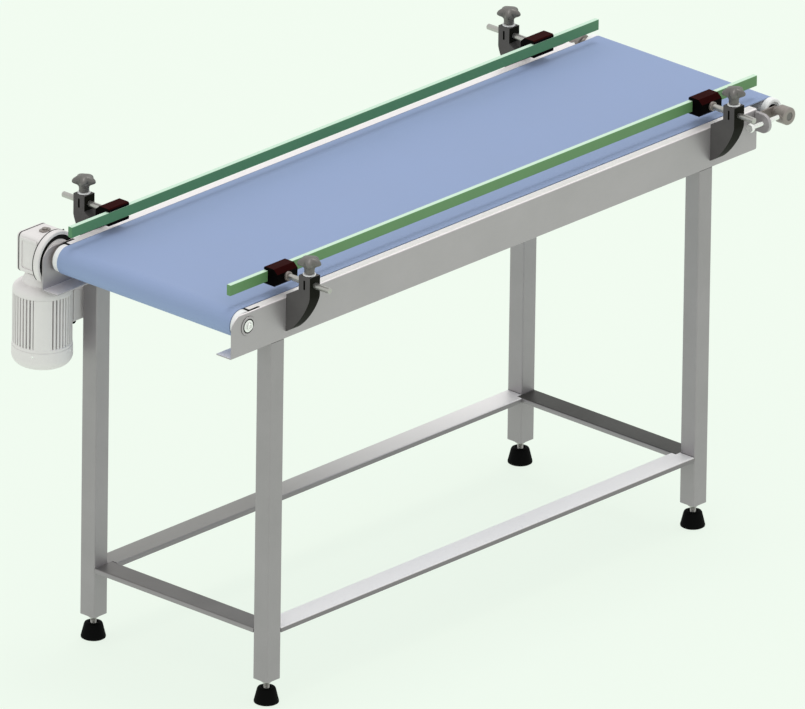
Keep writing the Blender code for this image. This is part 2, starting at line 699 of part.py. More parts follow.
def rail_bracket(end, label, side):
    """A cast gusset on the web that rises to the block in which the rod slides."""
    x, half = SUPPORT_X[end], BLOCK / 2
    name = f"rail_bracket_{end}_{label}"
    near, inner, outer = FRAME_HALF + GAP, SUPPORT_Y - half, SUPPORT_Y + half
    section = []
    for i in range(13):
        turn = math.radians(-90 + 7.5 * i)
        section.append((near + (outer - near) * math.cos(turn), BRACKET_BEND + BRACKET_DROP * math.sin(turn)))
    section += [(outer, BLOCK_HIGH), (inner, BLOCK_HIGH), (inner, 0.871), (near, 0.8525)]
    section = [(side * y, z) for y, z in section]
    bracket = prism(name, "dark_cast", section, "X", x - half, x + half)
    y0, y1 = between(side, inner - 0.02, outer + 0.02)
    cut(bracket, rod(f"{name}_bore", "dark_cast", ROD_RADIUS + GAP, "Y", (x, ROD_Z), y0, y1, 20, True))
    slot_low, slot_high, slot_half = 0.8745, 0.8945, 0.0035
    at = (x - half - 0.01, side * SUPPORT_Y - slot_half, slot_low)
    cut(bracket, slab(f"{name}_slot", "dark_cast", at, (x + half + 0.01, side * SUPPORT_Y + slot_half, slot_high), True))
    tap = rod(f"{name}_tap", "dark_cast", 0.0043, "Z", (x, side * SUPPORT_Y), ROD_Z, BLOCK_HIGH + 0.01, 14, True)
    cut(bracket, tap)
    return bracket


def star_knob(end, label, side):
    """A lobed knob on a short stud that presses on the rod, over a washer."""
    steps, lobes = 35, 5
    base, centre = BLOCK_HIGH + GAP, (SUPPORT_X[end], side * SUPPORT_Y)
    rings = [
        (0.0040, 0, 0.8906), (0.0040, 0, base), (0.0115, 0, base), (0.0115, 0, base + 0.0025),
        (0.0095, 0, base + 0.0025), (0.0105, 0, 0.914), (0.0140, 0.001, 0.921), (KNOB_RADIUS, 0.005, 0.926),
        (KNOB_RADIUS - 0.001, 0.005, 0.931), (0.0150, 0.002, 0.9375),
    ]
    bm = bmesh.new()
    loops = []
    for radius, depth, z in rings:
        rim = lobed(radius, depth, lobes, steps)
        loops.append([bm.verts.new((centre[0] + u, centre[1] + v, z)) for u, v in rim])
    bm.faces.new(loops[0])
    for this, after in zip(loops, loops[1:]):
        for i in range(steps):
            j = (i + 1) % steps
            bm.faces.new((this[i], this[j], after[j], after[i]))
    tip = bm.verts.new((*centre, KNOB_TOP))
    for i in range(steps):
        bm.faces.new((loops[-1][i], loops[-1][(i + 1) % steps], tip))
    return finish(bm, f"star_knob_{end}_{label}", "knob_grey")


def build_frame():
    slider_bed()
    for end in ENDS:
        cross_tie(end)
        end_brace(end)
    for label, side in SIDES.items():
        side_frame(label, side)
        long_brace(label, side)
        for end in ENDS:
            leg(end, label, side)
            levelling_foot(end, label, side)


def build_rollers():
    conveyor_belt()
    drum("drive_pulley", "white_plastic", DRIVE_RADIUS, DRIVE_SHAFT_RADIUS + GAP, (DRIVE_X, DRIVE_Z))
    drive_shaft()
    drum("tail_pulley", "white_plastic", TAIL_RADIUS, TAIL_SHAFT_RADIUS + GAP, (TAIL_X, TAIL_Z))
    reach = EYE_OUTER - 0.003 - GAP
    rod("tail_shaft", "steel", TAIL_SHAFT_RADIUS, "Y", (TAIL_X, TAIL_Z), -reach, reach)
    return_roller()
    for label, side in SIDES.items():
        drive_bearing(label, side)
        take_up_block(label, side)
        take_up_lug(label, side)
        take_up_screw(label, side)


def build_gearmotor():
    output_flange()
    gearbox_housing()
    gearbox_cover()
    vent_plug()
    bevel_gear()
    motor_rotor()
    motor_flange()
    motor_body()
    fan_cover()
    terminal_box()
    cable_gland()


def build_guides():
    for label, side in SIDES.items():
        guide_rail(label, side)
        for end in ENDS:
            rail_clamp(end, label, side)
            rail_rod(end, label, side)
            rail_bracket(end, label, side)
            star_knob(end, label, side)


clear_scene()
build_frame()
build_rollers()
build_gearmotor()
build_guides()
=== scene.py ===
"""The belt conveyor section as it looks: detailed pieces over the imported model, with their materials,
the light and the camera. Metres, in the row frame."""

import math

import bmesh
import bpy
from mathutils import Matrix, Vector


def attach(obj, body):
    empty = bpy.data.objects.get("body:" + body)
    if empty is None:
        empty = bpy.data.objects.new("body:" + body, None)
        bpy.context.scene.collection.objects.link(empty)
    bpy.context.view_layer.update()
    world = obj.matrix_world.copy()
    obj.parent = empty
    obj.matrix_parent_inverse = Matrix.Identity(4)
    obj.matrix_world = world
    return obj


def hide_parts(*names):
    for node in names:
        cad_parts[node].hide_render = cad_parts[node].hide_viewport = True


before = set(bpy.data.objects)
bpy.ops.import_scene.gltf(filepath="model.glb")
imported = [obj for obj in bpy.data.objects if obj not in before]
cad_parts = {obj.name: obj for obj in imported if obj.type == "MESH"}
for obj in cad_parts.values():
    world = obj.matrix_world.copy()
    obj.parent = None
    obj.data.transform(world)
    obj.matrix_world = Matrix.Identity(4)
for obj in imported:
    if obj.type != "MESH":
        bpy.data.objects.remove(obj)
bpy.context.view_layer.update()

SIDES = {"front": -1.0, "back": 1.0}
ENDS = ("drive", "tail")
UP = Vector((0, 0, 1))
GAP = 0.0003  # between neighbouring pieces
REACH = 0.01  # how far a cutter runs past what it cuts

# Side frames
FRAME_HALF, SHEET, FRAME_LOW, FRAME_HIGH = 0.250, 0.0025, 0.760, 0.846
FRAME_START, FRAME_END = -0.786, 0.718
FLANGE_CUT, RELIEF_END = 0.058, 0.083  # from the drive end: where the top flange starts and its slit ends
WEB_OUTSIDE = FRAME_HALF + GAP

# Stand
LEG, LEG_Y, LEG_LOW = 0.038, 0.2293, 0.050
LEG_X = {"drive": -0.653, "tail": 0.5745}
BRACE_WIDTH, BRACE_TOP, BRACE_LIP = 0.051, 0.1555, 0.1455

# Belt, rollers and take-up: roller centres in X and Z
DRIVE, DRIVE_RADIUS = (-0.740, 0.818), 0.026
TAIL, TAIL_RADIUS = (0.7755, 0.8225), 0.0215
ROLLER_HALF, BELT_HALF = 0.2415, 0.2275
BELT_COVER, BELT_CARCASS = (0.0030, 0.0012), (0.00115, 0.0004)  # outside and inside, above the rollers
SCREW_Y = 0.270

# Gearmotor: the motor's axis in X and Y, and the gearbox's box
MOTOR = (DRIVE[0], 0.291)
BOX_HALF, BOX_LOW, BOX_HIGH = 0.038, 0.778, 0.859
BOX_NEAR, BOX_FAR = 0.2666, 0.3205

# Guide rails and their supports
RAIL_LOW, RAIL_HIGH, RAIL_INNER, RAIL_OUTER = 0.8725, 0.895, 0.204, 0.214
RAIL_START, RAIL_END = -0.752, 0.757
SUPPORT_X = {"drive": -0.619, "tail": 0.597}
SUPPORT_Y, BLOCK, BLOCK_HIGH, ROD_Z = 0.297, 0.029, 0.902, 0.884
FIN_SHOULDER, FIN_DEPTH = 0.860, 0.084
FIN_POWER = 1.50  # 1 would round the bracket like an ellipse, 2 would cut it straight


# Materials


def socket_mix(nodes, links, factor, a, b):
    """A colour between a and b, each either a colour or a socket."""
    mix = nodes.new("ShaderNodeMix")
    mix.data_type = "RGBA"
    links.new(factor, mix.inputs[0])
    for at, value in ((6, a), (7, b)):
        if isinstance(value, bpy.types.NodeSocket):
            links.new(value, mix.inputs[at])
        else:
            mix.inputs[at].default_value = (*value, 1)
    return mix.outputs[2]


def noise(nodes, links, vector, scale, detail, rough):
    node = nodes.new("ShaderNodeTexNoise")
    node.inputs["Scale"].default_value = scale
    node.inputs["Detail"].default_value = detail
    node.inputs["Roughness"].default_value = rough
    links.new(vector, node.inputs["Vector"])
    return node.outputs["Fac"]


def ramp(nodes, links, value, low, high, to_low=0.0, to_high=1.0):
    """The value from low to high, spread over to_low to to_high and held at the ends."""
    node = nodes.new("ShaderNodeMapRange")
    node.inputs["From Min"].default_value = low
    node.inputs["From Max"].default_value = high
    node.inputs["To Min"].default_value = to_low
    node.inputs["To Max"].default_value = to_high
    links.new(value, node.inputs["Value"])
    return node.outputs["Result"]


def math_node(nodes, links, operation, *values):
    node = nodes.new("ShaderNodeMath")
    node.operation = operation
    for at, value in enumerate(values):
        links.new(value, node.inputs[at])
    return node.outputs[0]


def component(nodes, links, vector, axis):
    split = nodes.new("ShaderNodeSeparateXYZ")
    links.new(vector, split.inputs[0])
    return split.outputs[axis]


def facing(nodes, links, axis):
    """How far a face points along an axis."""
    normal = nodes.new("ShaderNodeNewGeometry").outputs["Normal"]
    return component(nodes, links, normal, axis)


def woven(nodes, links, position, small):
    """The fine grain over two crossing rows of threads."""
    threads = []
    for direction in ("X", "Y"):
        wave = nodes.new("ShaderNodeTexWave")
        wave.bands_direction = direction
        wave.inputs["Scale"].default_value = 160.0
        wave.inputs["Distortion"].default_value = 0.6
        links.new(position, wave.inputs["Vector"])
        threads.append(wave.outputs["Fac"])
    both = math_node(nodes, links, "ADD", *threads)
    return math_node(nodes, links, "ADD", both, small)


def shade(colour, factor):
    return tuple(min(1.0, c * factor) for c in colour)


def surface(name, colour, roughness, metallic, fine, vary, depth, grain=(1, 1, 1), patch=9.0, gloss=0.5,
            top=None, fade=None, outward=None, weave=False):
    """A material with cloudy tone, and with fine grain in colour and relief.

    fine and patch are the frequencies of the grain and of the clouds, and grain stretches the grain along an
    axis. vary is how far the tone strays, and depth is the relief. Upward faces take the colour top, painted
    light or painted shade, which fade = (start, end, colour) changes along X. Faces to either side take the
    colour outward, painted shade."""
    made = bpy.data.materials.new(name)
    made.use_nodes = True
    nodes, links = made.node_tree.nodes, made.node_tree.links
    shader = nodes["Principled BSDF"]
    position = nodes.new("ShaderNodeTexCoord").outputs["Object"]
    stretch = nodes.new("ShaderNodeMapping")
    stretch.inputs["Scale"].default_value = grain
    links.new(position, stretch.inputs["Vector"])
    cloud = noise(nodes, links, position, patch, 5.0, 0.6)
    small = noise(nodes, links, stretch.outputs["Vector"], fine, 3.0, 0.55)

    dark, pale, deep = shade(colour, 1 - vary), shade(colour, 1 + vary), shade(colour, 1 - 2.2 * vary)
    tone = socket_mix(nodes, links, ramp(nodes, links, cloud, 0.3, 0.7), dark, pale)
    tone = socket_mix(nodes, links, ramp(nodes, links, small, 0.2, 0.8, 0.0, 0.35), tone, deep)
    # Upward faces take the colour top: painted light or painted shade on the tops.
    if top:
        if fade:
            start, end, far_painted_top = fade
            along = component(nodes, links, position, "X")
            top = socket_mix(nodes, links, ramp(nodes, links, along, start, end), top, far_painted_top)
        painted_top_mask = ramp(nodes, links, facing(nodes, links, "Z"), 0.35, 0.85)
        tone = socket_mix(nodes, links, painted_top_mask, tone, top)
    # Faces to either side take the colour outward: painted shade.
    if outward:
        painted_side_mask = math_node(nodes, links, "ABSOLUTE", facing(nodes, links, "Y"))
        tone = socket_mix(nodes, links, ramp(nodes, links, painted_side_mask, 0.30, 0.75), tone, outward)
    links.new(tone, shader.inputs["Base Color"])

    smooth, rough = roughness * 0.85, min(1.0, roughness * 1.2)
    links.new(ramp(nodes, links, cloud, 0.25, 0.75, smooth, rough), shader.inputs["Roughness"])
    shader.inputs["Metallic"].default_value = metallic
    shader.inputs["Specular IOR Level"].default_value = gloss
    bump = nodes.new("ShaderNodeBump")
    bump.inputs["Strength"].default_value = 0.6
    bump.inputs["Distance"].default_value = depth
    links.new(woven(nodes, links, position, small) if weave else small, bump.inputs["Height"])
    links.new(bump.outputs["Normal"], shader.inputs["Normal"])
    return made


STAINLESS = (0.430, 0.402, 0.420)
ALONG_X, ALONG_Y, ALONG_Z = (1, 26, 26), (26, 1, 26), (26, 26, 1)
BRUSHED = dict(roughness=0.42, metallic=0.50, fine=40.0, vary=0.06, depth=0.00003)
MILLED = dict(roughness=0.42, metallic=0.50, fine=40.0, vary=0.10, depth=0.00004)
EXTRUDED = dict(roughness=0.40, metallic=0.0, fine=60.0, vary=0.06, depth=0.00003, grain=(2, 30, 30),
                gloss=0.3)
LOOKS = {
    # Side frames: upward faces painted near white, painted light on the top flange.
    "stainless": dict(BRUSHED, colour=STAINLESS, grain=ALONG_X, top=(0.95, 0.90, 0.92)),
    # Front long brace: sides painted dark and the top near white, painted shade and painted light.
    "stainless_brace_painted_light": dict(colour=shade(STAINLESS, 0.50), roughness=0.50, metallic=0.20, fine=40.0,
                            vary=0.05, depth=0.00003, grain=ALONG_X, top=(1.0, 0.97, 0.97)),
    "stainless_plain": dict(BRUSHED, colour=STAINLESS, grain=ALONG_X),
    "stainless_leg": dict(BRUSHED, colour=shade(STAINLESS, 0.82), vary=0.07, grain=ALONG_Z),
    # End braces, cross ties and welds: a darker copy with dark tops, darker towards the tail, painted shadow
    # of the conveyor.
    "stainless_cross_painted_shade": dict(MILLED, colour=shade(STAINLESS, 0.75), grain=ALONG_Y, top=(0.180, 0.170, 0.165),
                            fade=(-0.60, 0.50, (0.050, 0.048, 0.044))),
    # Back long brace: a darker copy, its top painted dark at the drive end and light towards the tail,
    # painted shadow and painted light.
    "stainless_back_painted_shadow": dict(MILLED, colour=shade(STAINLESS, 0.60), grain=ALONG_X, top=(0.29, 0.28, 0.27),
                           fade=(-0.20, 0.48, (0.95, 0.92, 0.92))),
    "steel": dict(colour=(0.50, 0.49, 0.47), roughness=0.30, metallic=0.85, fine=120.0, vary=0.10,
                  depth=0.00002, grain=(20, 3, 20)),
    "zinc": dict(colour=(0.31, 0.275, 0.26), roughness=0.38, metallic=0.50, fine=500.0, vary=0.12,
                 depth=0.00003),
    "bright": dict(colour=(0.94, 0.94, 0.93), roughness=0.25, metallic=0.60, fine=600.0, vary=0.06,
                   depth=0.00002),
    "belt": dict(colour=(0.276, 0.355, 0.568), roughness=0.62, metallic=0.0, fine=700.0, vary=0.025,
                 depth=0.00008, patch=4.0, gloss=0.3, weave=True),
    "belt_edge": dict(colour=(0.42, 0.47, 0.60), roughness=0.80, metallic=0.0, fine=900.0, vary=0.08,
                      depth=0.0001),
    "white_plastic": dict(colour=(0.90, 0.90, 0.92), roughness=0.40, metallic=0.0, fine=500.0, vary=0.03,
                          depth=0.00003),
    "cast_grey": dict(colour=(0.790, 0.755, 0.760), roughness=0.55, metallic=0.05, fine=420.0, vary=0.05,
                      depth=0.00012),
    "cast_shadow": dict(colour=(0.012, 0.012, 0.011), roughness=0.80, metallic=0.0, fine=420.0, vary=0.1,
                        depth=0.0001, gloss=0.1),
    # Rail brackets: faces to either side painted near black, painted shade.
    "dark_cast": dict(colour=(0.112, 0.105, 0.107), roughness=0.60, metallic=0.0, fine=600.0, vary=0.14,
                      depth=0.00010, gloss=0.04, outward=(0.0085, 0.0085, 0.0060)),
    # Rail clamps: upward faces painted dark red, a painted sheen.
    "black_plastic": dict(colour=(0.0020, 0.0015, 0.0015), roughness=0.50, metallic=0.0, fine=600.0, vary=0.2,
                          depth=0.00005, gloss=0.02, top=(0.0240, 0.0008, 0.0008)),
    "rubber": dict(colour=(0.0035, 0.0035, 0.0035), roughness=0.65, metallic=0.0, fine=500.0, vary=0.25,
                   depth=0.00012, gloss=0.04),
    "knob_grey": dict(colour=(0.165, 0.156, 0.150), roughness=0.42, metallic=0.40, fine=500.0, vary=0.14,
                      depth=0.00006),
    # Guide rails: tops painted pale mint, a painted highlight; the back rail's copy is darker, painted shade.
    "green": dict(EXTRUDED, colour=(0.125, 0.270, 0.112), top=(0.60, 0.80, 0.64)),
    "green_back_painted_shade": dict(EXTRUDED, colour=(0.093, 0.252, 0.122), top=(0.58, 0.78, 0.64)),
}
MATERIALS = {name: surface(name, **look) for name, look in LOOKS.items()}


# Shapes


def place(axis, u, v, along):
    """A point from its two coordinates across an axis and the one along it."""
    return {"X": (along, u, v), "Y": (u, along, v), "Z": (u, v, along)}[axis]


def arc(centre, radius, start, end, steps):
    points = []
    for i in range(steps + 1):
        angle = math.radians(start + (end - start) * i / steps)
        points.append((centre[0] + radius * math.cos(angle), centre[1] + radius * math.sin(angle)))
    return points


def ring_of(centre, radius, steps):
    return arc(centre, radius, 0, 360, steps)[:-1]


def regular(centre, radius, sides, turn=0.0):
    return arc(centre, radius, turn, turn + 360, sides)[:-1]


def oblong(u0, v0, u1, v1):
    return [(u0, v0), (u1, v0), (u1, v1), (u0, v1)]


def rounded(low, high, radius, steps=4):
    """A rectangle between two corners, with round corners."""
    (x0, y0), (x1, y1) = low, high
    points = arc((x1 - radius, y1 - radius), radius, 0, 90, steps)
    points += arc((x0 + radius, y1 - radius), radius, 90, 180, steps)
    points += arc((x0 + radius, y0 + radius), radius, 180, 270, steps)
    return points + arc((x1 - radius, y0 + radius), radius, 270, 360, steps)


def around(centre, half_u, half_v, radius, steps=4):
    """A rounded rectangle about its centre."""
    low = (centre[0] - half_u, centre[1] - half_v)
    return rounded(low, (centre[0] + half_u, centre[1] + half_v), radius, steps)


def between(side, near, far):
    return sorted((side * near, side * far))


def mesh_object(bm, name):
    bmesh.ops.remove_doubles(bm, verts=bm.verts, dist=1e-7)
    bmesh.ops.recalc_face_normals(bm, faces=bm.faces)
    mesh = bpy.data.meshes.new(name)
    bm.to_mesh(mesh)
    bm.free()
    mesh.shade_smooth()
    obj = bpy.data.objects.new(name, mesh)
    bpy.context.scene.collection.objects.link(obj)
    return obj


def prism(name, outline, axis, low, high):
    bm = bmesh.new()
    face = bm.faces.new([bm.verts.new(place(axis, u, v, low)) for u, v in outline])
    grown = bmesh.ops.extrude_face_region(bm, geom=[face])
    moved = [item for item in grown["geom"] if isinstance(item, bmesh.types.BMVert)]
    bmesh.ops.translate(bm, verts=moved, vec=Vector(place(axis, 0, 0, high - low)))
    return mesh_object(bm, name)


def stacked(bm, loops, closed):
    """Walls between each loop of points and the next, and back to the first where closed."""
    after_each = loops[1:] + loops[:1] if closed else loops[1:]
    for this, after in zip(loops, after_each):
        for i in range(len(this)):
            j = (i + 1) % len(this)
            bm.faces.new((this[i], this[j], after[j], after[i]))


def band(name, outer, inner, axis, low, high):
    """A tube with any outline, from an outer and an inner outline of as many points."""
    bm = bmesh.new()
    loops = []
    for outline, at in ((outer, low), (outer, high), (inner, high), (inner, low)):
        loops.append([bm.verts.new(place(axis, u, v, at)) for u, v in outline])
    stacked(bm, loops, True)
    return mesh_object(bm, name)


def turned(name, profile, axis, centre, steps=48):
    """A profile of (radius, place along the axis), turned about the axis."""
    bm = bmesh.new()
    points = [bm.verts.new(place(axis, centre[0] + radius, centre[1], at)) for radius, at in profile]
    edges = [bm.edges.new(pair) for pair in zip(points, points[1:])]
    if profile[0][0] > 0:
        edges.append(bm.edges.new((points[-1], points[0])))
    centre_point, spin_axis = place(axis, centre[0], centre[1], 0), place(axis, 0, 0, 1)
    bmesh.ops.spin(bm, geom=points + edges, cent=centre_point, axis=spin_axis, angle=2 * math.pi, steps=steps,
                   use_merge=True)
    return mesh_object(bm, name)


def washer_profile(inner, outer, low, high):
    return [(inner, low), (outer, low), (outer, high), (inner, high)]


def rod(name, radius, axis, centre, low, high, steps=32, bevel=0.0006):
    profile = [(0, low), (radius - bevel, low), (radius, low + bevel), (radius, high - bevel)]
    return turned(name, profile + [(radius - bevel, high), (0, high)], axis, centre, steps)


def thread(name, radius, axis, centre, low, high, pitch=0.0016):
    """A screw's thread as close ridges."""
    depth = 0.0007
    profile = [(0, low), (radius - depth, low)]
    for i in range(int((high - low) / pitch)):
        profile += [(radius, low + (i + 0.5) * pitch), (radius - depth, low + (i + 1) * pitch)]
    return turned(name, profile + [(radius - depth, high), (0, high)], axis, centre, 20)


def carve(obj, *cutters):
    """Cuts the cutters out for good, so that the piece stays whole when it moves."""
    for cutter in cutters:
        modifier = obj.modifiers.new("carve", "BOOLEAN")
        modifier.operation = "DIFFERENCE"
        modifier.solver = "EXACT"
        modifier.object = cutter
    shaped = obj.evaluated_get(bpy.context.evaluated_depsgraph_get())
    mesh = bpy.data.meshes.new_from_object(shaped)
    obj.modifiers.clear()
    obj.data = mesh
    for cutter in cutters:
        bpy.data.objects.remove(cutter, do_unlink=True)
    return obj


def soften(obj, width, segments=2):
    """Rounds the piece's edges."""
    bevel = obj.modifiers.new("edge", "BEVEL")
    bevel.width = width
    bevel.segments = segments
    bevel.limit_method = "ANGLE"
    bevel.angle_limit = math.radians(32)
    bevel.use_clamp_overlap = True
    normals = obj.modifiers.new("normals", "WEIGHTED_NORMAL")
    normals.keep_sharp = True
    return obj


def crisp(obj, angle=32):
    """Shades the piece smooth, with its edges sharp."""
    obj.data.shade_smooth()
    obj.data.set_sharp_from_angle(angle=math.radians(angle))
    return obj


def hexagon(name, axis, centre, radius, low, high, turn=0.0):
    return soften(prism(name, regular(centre, radius, 6, turn), axis, low, high), 0.0006)


def put(obj, material, body, *nodes):
    """Gives a finished piece its material, its body and the CAD nodes that it stands for."""
    obj.data.materials.clear()
    obj.data.materials.append(MATERIALS[material])
    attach(obj, body)
    if nodes:
        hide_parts(*nodes)
    return obj


# Frame and stand


def side_frame(label, side):
    """A channel folded from sheet, with a round nose, a bearing hole and a cut-back top flange."""
    bend, nose, tail_corner, bearing = 0.0035, 0.028, 0.005, 0.020
    low_edge, high_edge = 0.210, 0.2295
    slit_outer, slit_inner = FRAME_HALF - 0.0032, FRAME_HALF - 0.0090
    slit_start, under_flange = FRAME_START + 0.05, FRAME_HIGH - 0.008
    low_bend, high_bend = (FRAME_HALF - bend, FRAME_LOW + bend), (FRAME_HALF - bend, FRAME_HIGH - bend)
    profile = [(low_edge, FRAME_LOW)]
    profile += arc(low_bend, bend, -90, 0, 4)
    profile += arc(high_bend, bend, 0, 90, 4)
    profile += [(high_edge, FRAME_HIGH), (high_edge, FRAME_HIGH - SHEET)]
    profile += arc(high_bend, bend - SHEET, 90, 0, 3)
    profile += arc(low_bend, bend - SHEET, 0, -90, 3)
    profile += [(low_edge, FRAME_LOW + SHEET)]
    body = prism(f"frame_{label}", [(side * y, z) for y, z in profile], "X", FRAME_START, FRAME_END)

    across_web, across_all = between(side, 0.24, 0.26), between(side, 0.20, 0.26)
    before, above, past, below = FRAME_START - REACH, FRAME_HIGH + REACH, FRAME_END + REACH, FRAME_LOW - REACH
    centre = (FRAME_START + nose, FRAME_HIGH - nose)
    corner = arc(centre, nose, 180, 90, 16) + [(centre[0], above), (before, above), (before, centre[1])]
    cuts = [prism("cut_nose", corner, "Y", *across_all)]
    y0, y1 = between(side, 0.22, slit_outer)
    flange_end = oblong(before, y0, FRAME_START + FLANGE_CUT, y1)
    cuts.append(prism("cut_flange", flange_end, "Z", under_flange, above))
    y0, y1 = between(side, slit_inner, slit_outer)
    slit = oblong(slit_start, y0, FRAME_START + RELIEF_END, y1)
    cuts.append(prism("cut_relief", slit, "Z", under_flange, above))
    cuts.append(rod("cut_bearing", bearing, "Y", DRIVE, *across_web, 40, 0.0))
    centre = (FRAME_END - tail_corner, FRAME_LOW + tail_corner)
    corner = arc(centre, tail_corner, -90, 0, 6) + [(past, centre[1]), (past, below), (centre[0], below)]
    cuts.append(prism("cut_foot", corner, "Y", *across_all))
    carve(body, *cuts)
    put(soften(body, 0.0005), "stainless", "base", f"side_frame_{label}")
    relief_shadow(label, side, high_edge)


def relief_shadow(label, side, flange_edge):
    """The dark of the cut round the top flange's end."""
    width, top = 0.0042, FRAME_HIGH - 0.0004
    cut_at, end = FRAME_START + FLANGE_CUT, FRAME_START + RELIEF_END
    edge, slit, outside = side * flange_edge, side * 0.2412, side * 0.2468
    outline = [(cut_at - width, edge), (cut_at, edge), (cut_at, slit), (end, slit), (end, outside)]
    outline.append((cut_at - width, outside))
    shadow = prism(f"relief_shadow_{label}", outline, "Z", FRAME_HIGH - 0.0022, top)
    put(crisp(shadow), "cast_shadow", "base")


def legs_and_feet(end, label, side):
    """A square tube with an inset cap, standing on a rubber foot with its stud and nut."""
    half, wall, inset = LEG / 2, 0.0025, 0.0026
    centre = (LEG_X[end], side * LEG_Y)
    name, foot = f"{end}_{label}", f"foot_{end}_{label}"
    outer, inner = around(centre, half, half, 0.003), around(centre, half - wall, half - wall, 0.0012)
    tube = band(f"tube_{name}", outer, inner, "Z", LEG_LOW, FRAME_LOW - GAP)
    put(soften(tube, 0.0004), "stainless_leg", "base", f"leg_{name}")
    cap = around(centre, half - inset, half - inset, 0.001)
    plug = prism(f"plug_{name}", cap, "Z", LEG_LOW + 0.0015, LEG_LOW + 0.008)
    put(soften(plug, 0.0004), "rubber", "base")
    pad = [(0, 0.0002), (0.0225, 0.0002), (0.0245, 0.0015), (0.0247, 0.004), (0.0240, 0.0065),
           (0.0185, 0.029), (0.0170, 0.0315), (0.0150, 0.0325), (0.0100, 0.0328), (0.0095, 0.0310),
           (0, 0.0310)]
    put(crisp(turned(f"pad_{name}", pad, "Z", centre), 50), "rubber", foot, f"levelling_foot_{name}")
    put(crisp(thread(f"stud_{name}", 0.006, "Z", centre, 0.030, 0.0495)), "steel", foot)
    put(hexagon(f"foot_nut_{name}", "Z", centre, 0.0105, 0.0425, 0.0492, 15), "steel", foot)
    inward = -1 if end == "tail" else 1
    for direction, axis in ((inward, "X"), (-side, "Y")):
        put(weld_bead(f"weld_{axis}_{name}", centre, direction, axis), "stainless_cross_painted_shade", "base")


def weld_bead(name, centre, direction, axis):
    """A row of small ripples where a brace meets a leg."""
    bm = bmesh.new()
    count, size, half = 13, (0.0016, 0.0016, 0.0011), LEG / 2
    face, length = direction * half, 2 * half - 0.006
    for i in range(count):
        across = (i / (count - 1) - 0.5) * length
        dx, dy = (face, across) if axis == "X" else (across, face)
        at = (centre[0] + dx, centre[1] + dy, BRACE_TOP - GAP)
        spot = Matrix.Translation(at) @ Matrix.Diagonal((*size, 1))
        bmesh.ops.create_uvsphere(bm, u_segments=10, v_segments=6, radius=1.0, matrix=spot)
    return mesh_object(bm, name)


def brace_section(low, high):
    """A shallow channel with its lips down, between low and high across the brace."""
    bend = 0.0032
    left, right = (low + bend, BRACE_TOP - bend), (high - bend, BRACE_TOP - bend)
    points = [(low, BRACE_LIP)] + arc(left, bend, 180, 90, 4) + arc(right, bend, 90, 0, 4)
    points += [(high, BRACE_LIP), (high - SHEET, BRACE_LIP)] + arc(right, bend - SHEET, 0, 90, 3)
    return points + arc(left, bend - SHEET, 90, 180, 3) + [(low + SHEET, BRACE_LIP)]


def long_brace(label, side):
    """Between the legs of one side, with its inner corners cut for the end braces."""
    half = LEG / 2
    outer = LEG_Y + half
    start, end = LEG_X["drive"] + half + GAP, LEG_X["tail"] - half - GAP
    section = brace_section(*between(side, outer - BRACE_WIDTH, outer))
    made = prism(f"low_{label}", section, "X", start, end)
    y0, y1 = between(side, outer - BRACE_WIDTH - REACH, LEG_Y - half)
    notch = BRACE_WIDTH - LEG
    notches = []
    for x0, x1 in ((start - REACH, start + notch), (end - notch, end + REACH)):
        notches.append(prism("cut_notch", oblong(x0, y0, x1, y1), "Z", BRACE_TOP - 0.03, BRACE_TOP + REACH))
    carve(made, *notches)
    finish = "stainless_brace_painted_light" if label == "front" else "stainless_back_painted_shadow"
    put(soften(made, 0.0004), finish, "base", f"brace_{label}")


def end_brace(end):
    """Between the two legs of one end, flush with their outer faces."""
    away, half = -1 if end == "drive" else 1, LEG / 2
    outer, reach = LEG_X[end] + away * half, LEG_Y - half - GAP
    section = brace_section(*sorted((outer, outer - away * BRACE_WIDTH)))
    made = prism(f"low_{end}", section, "Y", -reach, reach)
    put(soften(made, 0.0004), "stainless_cross_painted_shade", "base", f"brace_{end}")


# Belt and rollers


def belt_loop(extra):
    """The belt's outline at a height over the rollers."""
    low = -90 + 2 * math.degrees(math.atan2(TAIL[1] - DRIVE[1], TAIL[0] - DRIVE[0]))
    nose = arc(DRIVE, DRIVE_RADIUS + extra, 90, 360 + low, 64)
    return nose + arc(TAIL, TAIL_RADIUS + extra, low, 90, 48)


def belt():
    layers = (("belt_cover", BELT_COVER, BELT_HALF), ("belt_carcass", BELT_CARCASS, BELT_HALF - GAP))
    cover, carcass = [
        band(name, belt_loop(outside), belt_loop(inside), "Y", -half, half)
        for name, (outside, inside), half in layers
    ]
    put(soften(cover, 0.0004), "belt", "base", "conveyor_belt")
    put(crisp(carcass), "belt_edge", "base")


def roller(node, body, centre, radius, bore, bulge):
    """A drum with dished ends and with shoulders beside the belt."""
    end, rim, shoulder = ROLLER_HALF, 0.0038, radius + bulge
    half = [(bore, end - 0.001), (bore + 0.004, end - 0.001), (bore + 0.005, end - 0.006),
            (radius - rim - 0.001, end - 0.006), (radius - rim, end - 0.001), (radius - rim + 0.001, end),
            (shoulder - 0.0015, end), (shoulder, end - 0.0015), (shoulder, BELT_HALF + 0.001),
            (radius, BELT_HALF + 0.0004)]
    drum = turned(node + "_shell", half + [(r, -y) for r, y in reversed(half)], "Y", centre, 80)
    put(crisp(drum, 28), "white_plastic", body, node)


